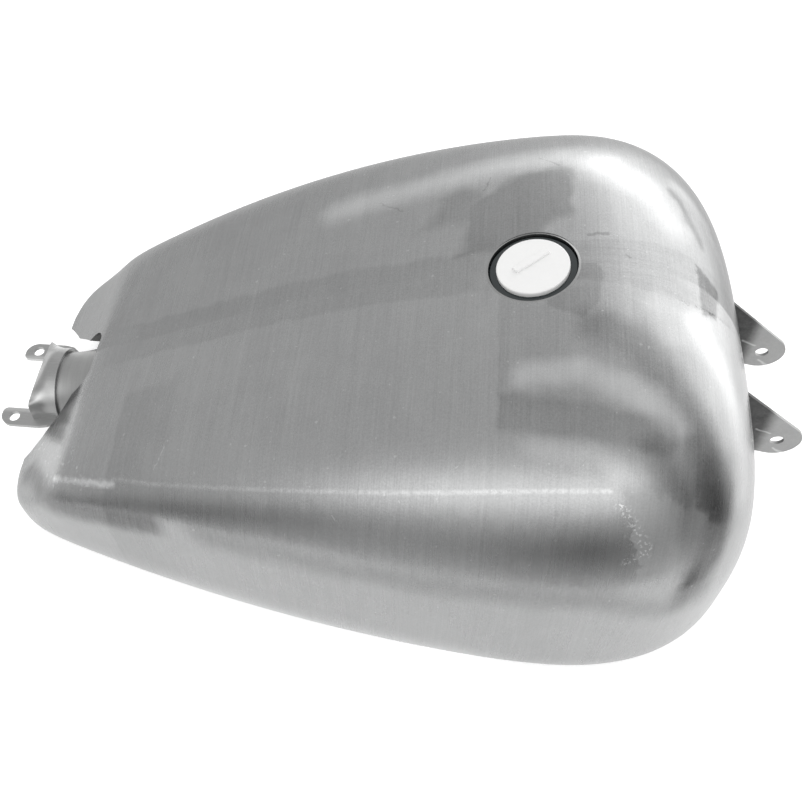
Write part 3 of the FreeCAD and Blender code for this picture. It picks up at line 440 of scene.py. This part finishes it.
def tab_painted_light(t, p):
    # painted shadow of the tank body over the end of each tab nearest the tank, and short painted reflection lines by
    # the hole
    q = wobble(t, p, 90.0, 0.003)
    painted_shadow = t.ramp(t.split(q)[0], 0.2750, 0.2870, 1.0, 0.0)
    painted_reflection_lines = None
    for sy in (-0.0409, 0.0409):
        for a, c2 in (((0.2960, 0.0880), (0.3030, 0.0835)), ((0.2930, 0.0905), (0.2985, 0.0850)), ((0.2740, 0.1130), (0.2850, 0.1080))):
            e = stroke(t, q, ((a[0], sy - 0.00125, a[1]), (c2[0], sy - 0.00125, c2[1])), 0.0006, 0.0008)
            painted_reflection_lines = e if painted_reflection_lines is None else t.math("MAXIMUM", painted_reflection_lines, e)
    return [(-0.80, painted_shadow), (0.60, painted_reflection_lines)]


def strap_painted_light(t, p):
    # painted highlight on both ends of the strap, and painted shade in the bends beyond them
    y = t.math("ABSOLUTE", t.split(wobble(t, p, 80.0, 0.004))[1])
    return [(0.55, t.ramp(y, 0.019, 0.026)), (-0.45, t.ramp(y, 0.0265, 0.030))]


TAB = sheet("tab_steel_plate", 0.31, 0.42, 300.0, 60.0, 300.0, tab_painted_light)
STRAP = sheet("strap_steel", 0.34, 0.36, 90.0, 700.0, 90.0, strap_painted_light)
SADDLE = sheet("saddle_steel", 0.34, 0.40, 900.0, 30.0, 30.0)
SHEETS = sheet("sheet_steel_rolled", 0.34, 0.38, 40.0, 900.0, 300.0)
NECK = sheet("neck_steel_turned", 0.33, 0.30, 60.0, 60.0, 1100.0)
TURNED = sheet("turned_steel_fittings", 0.40, 0.30, 60.0, 60.0, 1500.0)
STEM = sheet("stem_steel_turned", 0.48, 0.24, 60.0, 60.0, 1800.0)
SPRING = sheet("spring_steel_bright", 0.42, 0.30, 200.0, 200.0, 1200.0)


def moulded(name, colour, rough0, spread, fine, dist, spec=0.5):
    m, t, b = new_material(name)
    p = object_point(t)
    cloud = centred(t, t.noise(p, 120.0, 4.0, 0.6))
    tiny = centred(t, t.noise(p, fine, 2.0, 0.6))
    v = add_up(t, [(spread, cloud), (spread * 0.8, tiny)])
    c = t.vec("MULTIPLY", t.comb(v, v, v), tuple(colour))
    t.put(b, "Base Color", c)
    t.put(b, "Roughness", add_up(t, [(0.12, cloud), (0.08, tiny)], rough0))
    b.inputs["Specular IOR Level"].default_value = spec
    bump(t, b, add_up(t, [(1.0, tiny), (0.6, cloud)], 0.0), dist)
    return m


BLACK = moulded("cap_black_gloss", (0.010, 0.016, 0.018), 0.12, 0.5, 900.0, 0.000006, 0.6)
WHITE = moulded("knob_white_satin", (0.84, 0.84, 0.835), 0.34, 0.05, 700.0, 0.000010, 0.45)
RUBBER = moulded("seal_rubber_black", (0.030, 0.030, 0.031), 0.62, 0.5, 1200.0, 0.000020, 0.35)
NYLON = moulded("slip_nylon_natural", (0.72, 0.69, 0.62), 0.45, 0.12, 800.0, 0.000010)

LOOK = {
    "shell_right": shell_skin("sanded_steel_right", True), "shell_left": shell_skin("sanded_steel_left", False),
    "front_tab_right": TAB, "front_tab_left": TAB,
    "rear_bracket": STRAP, "rear_saddle": SADDLE,
    "tunnel": SHEETS, "bottom_pan_right": SHEETS, "bottom_pan_left": SHEETS, "rear_plate_right": SHEETS, "rear_plate_left": SHEETS,
    "baffle_right": SHEETS, "baffle_left": SHEETS,
    "filler_neck": NECK,
    "fuel_valve_bung": TURNED, "crossover_nipple_right": TURNED, "crossover_nipple_left": TURNED, "vent_tube": TURNED,
    "cap_gasket": RUBBER, "vent_disc": RUBBER, "slip_washer": NYLON,
    "cap_body": BLACK, "vent_cage": BLACK, "cap_knob": WHITE,
    "knob_stem": STEM, "stem_clip": STEM, "knob_spring": SPRING, "vent_spring": SPRING,
}
for name, o in nodes.items():
    o.data.materials.clear()
    o.data.materials.append(LOOK[name])
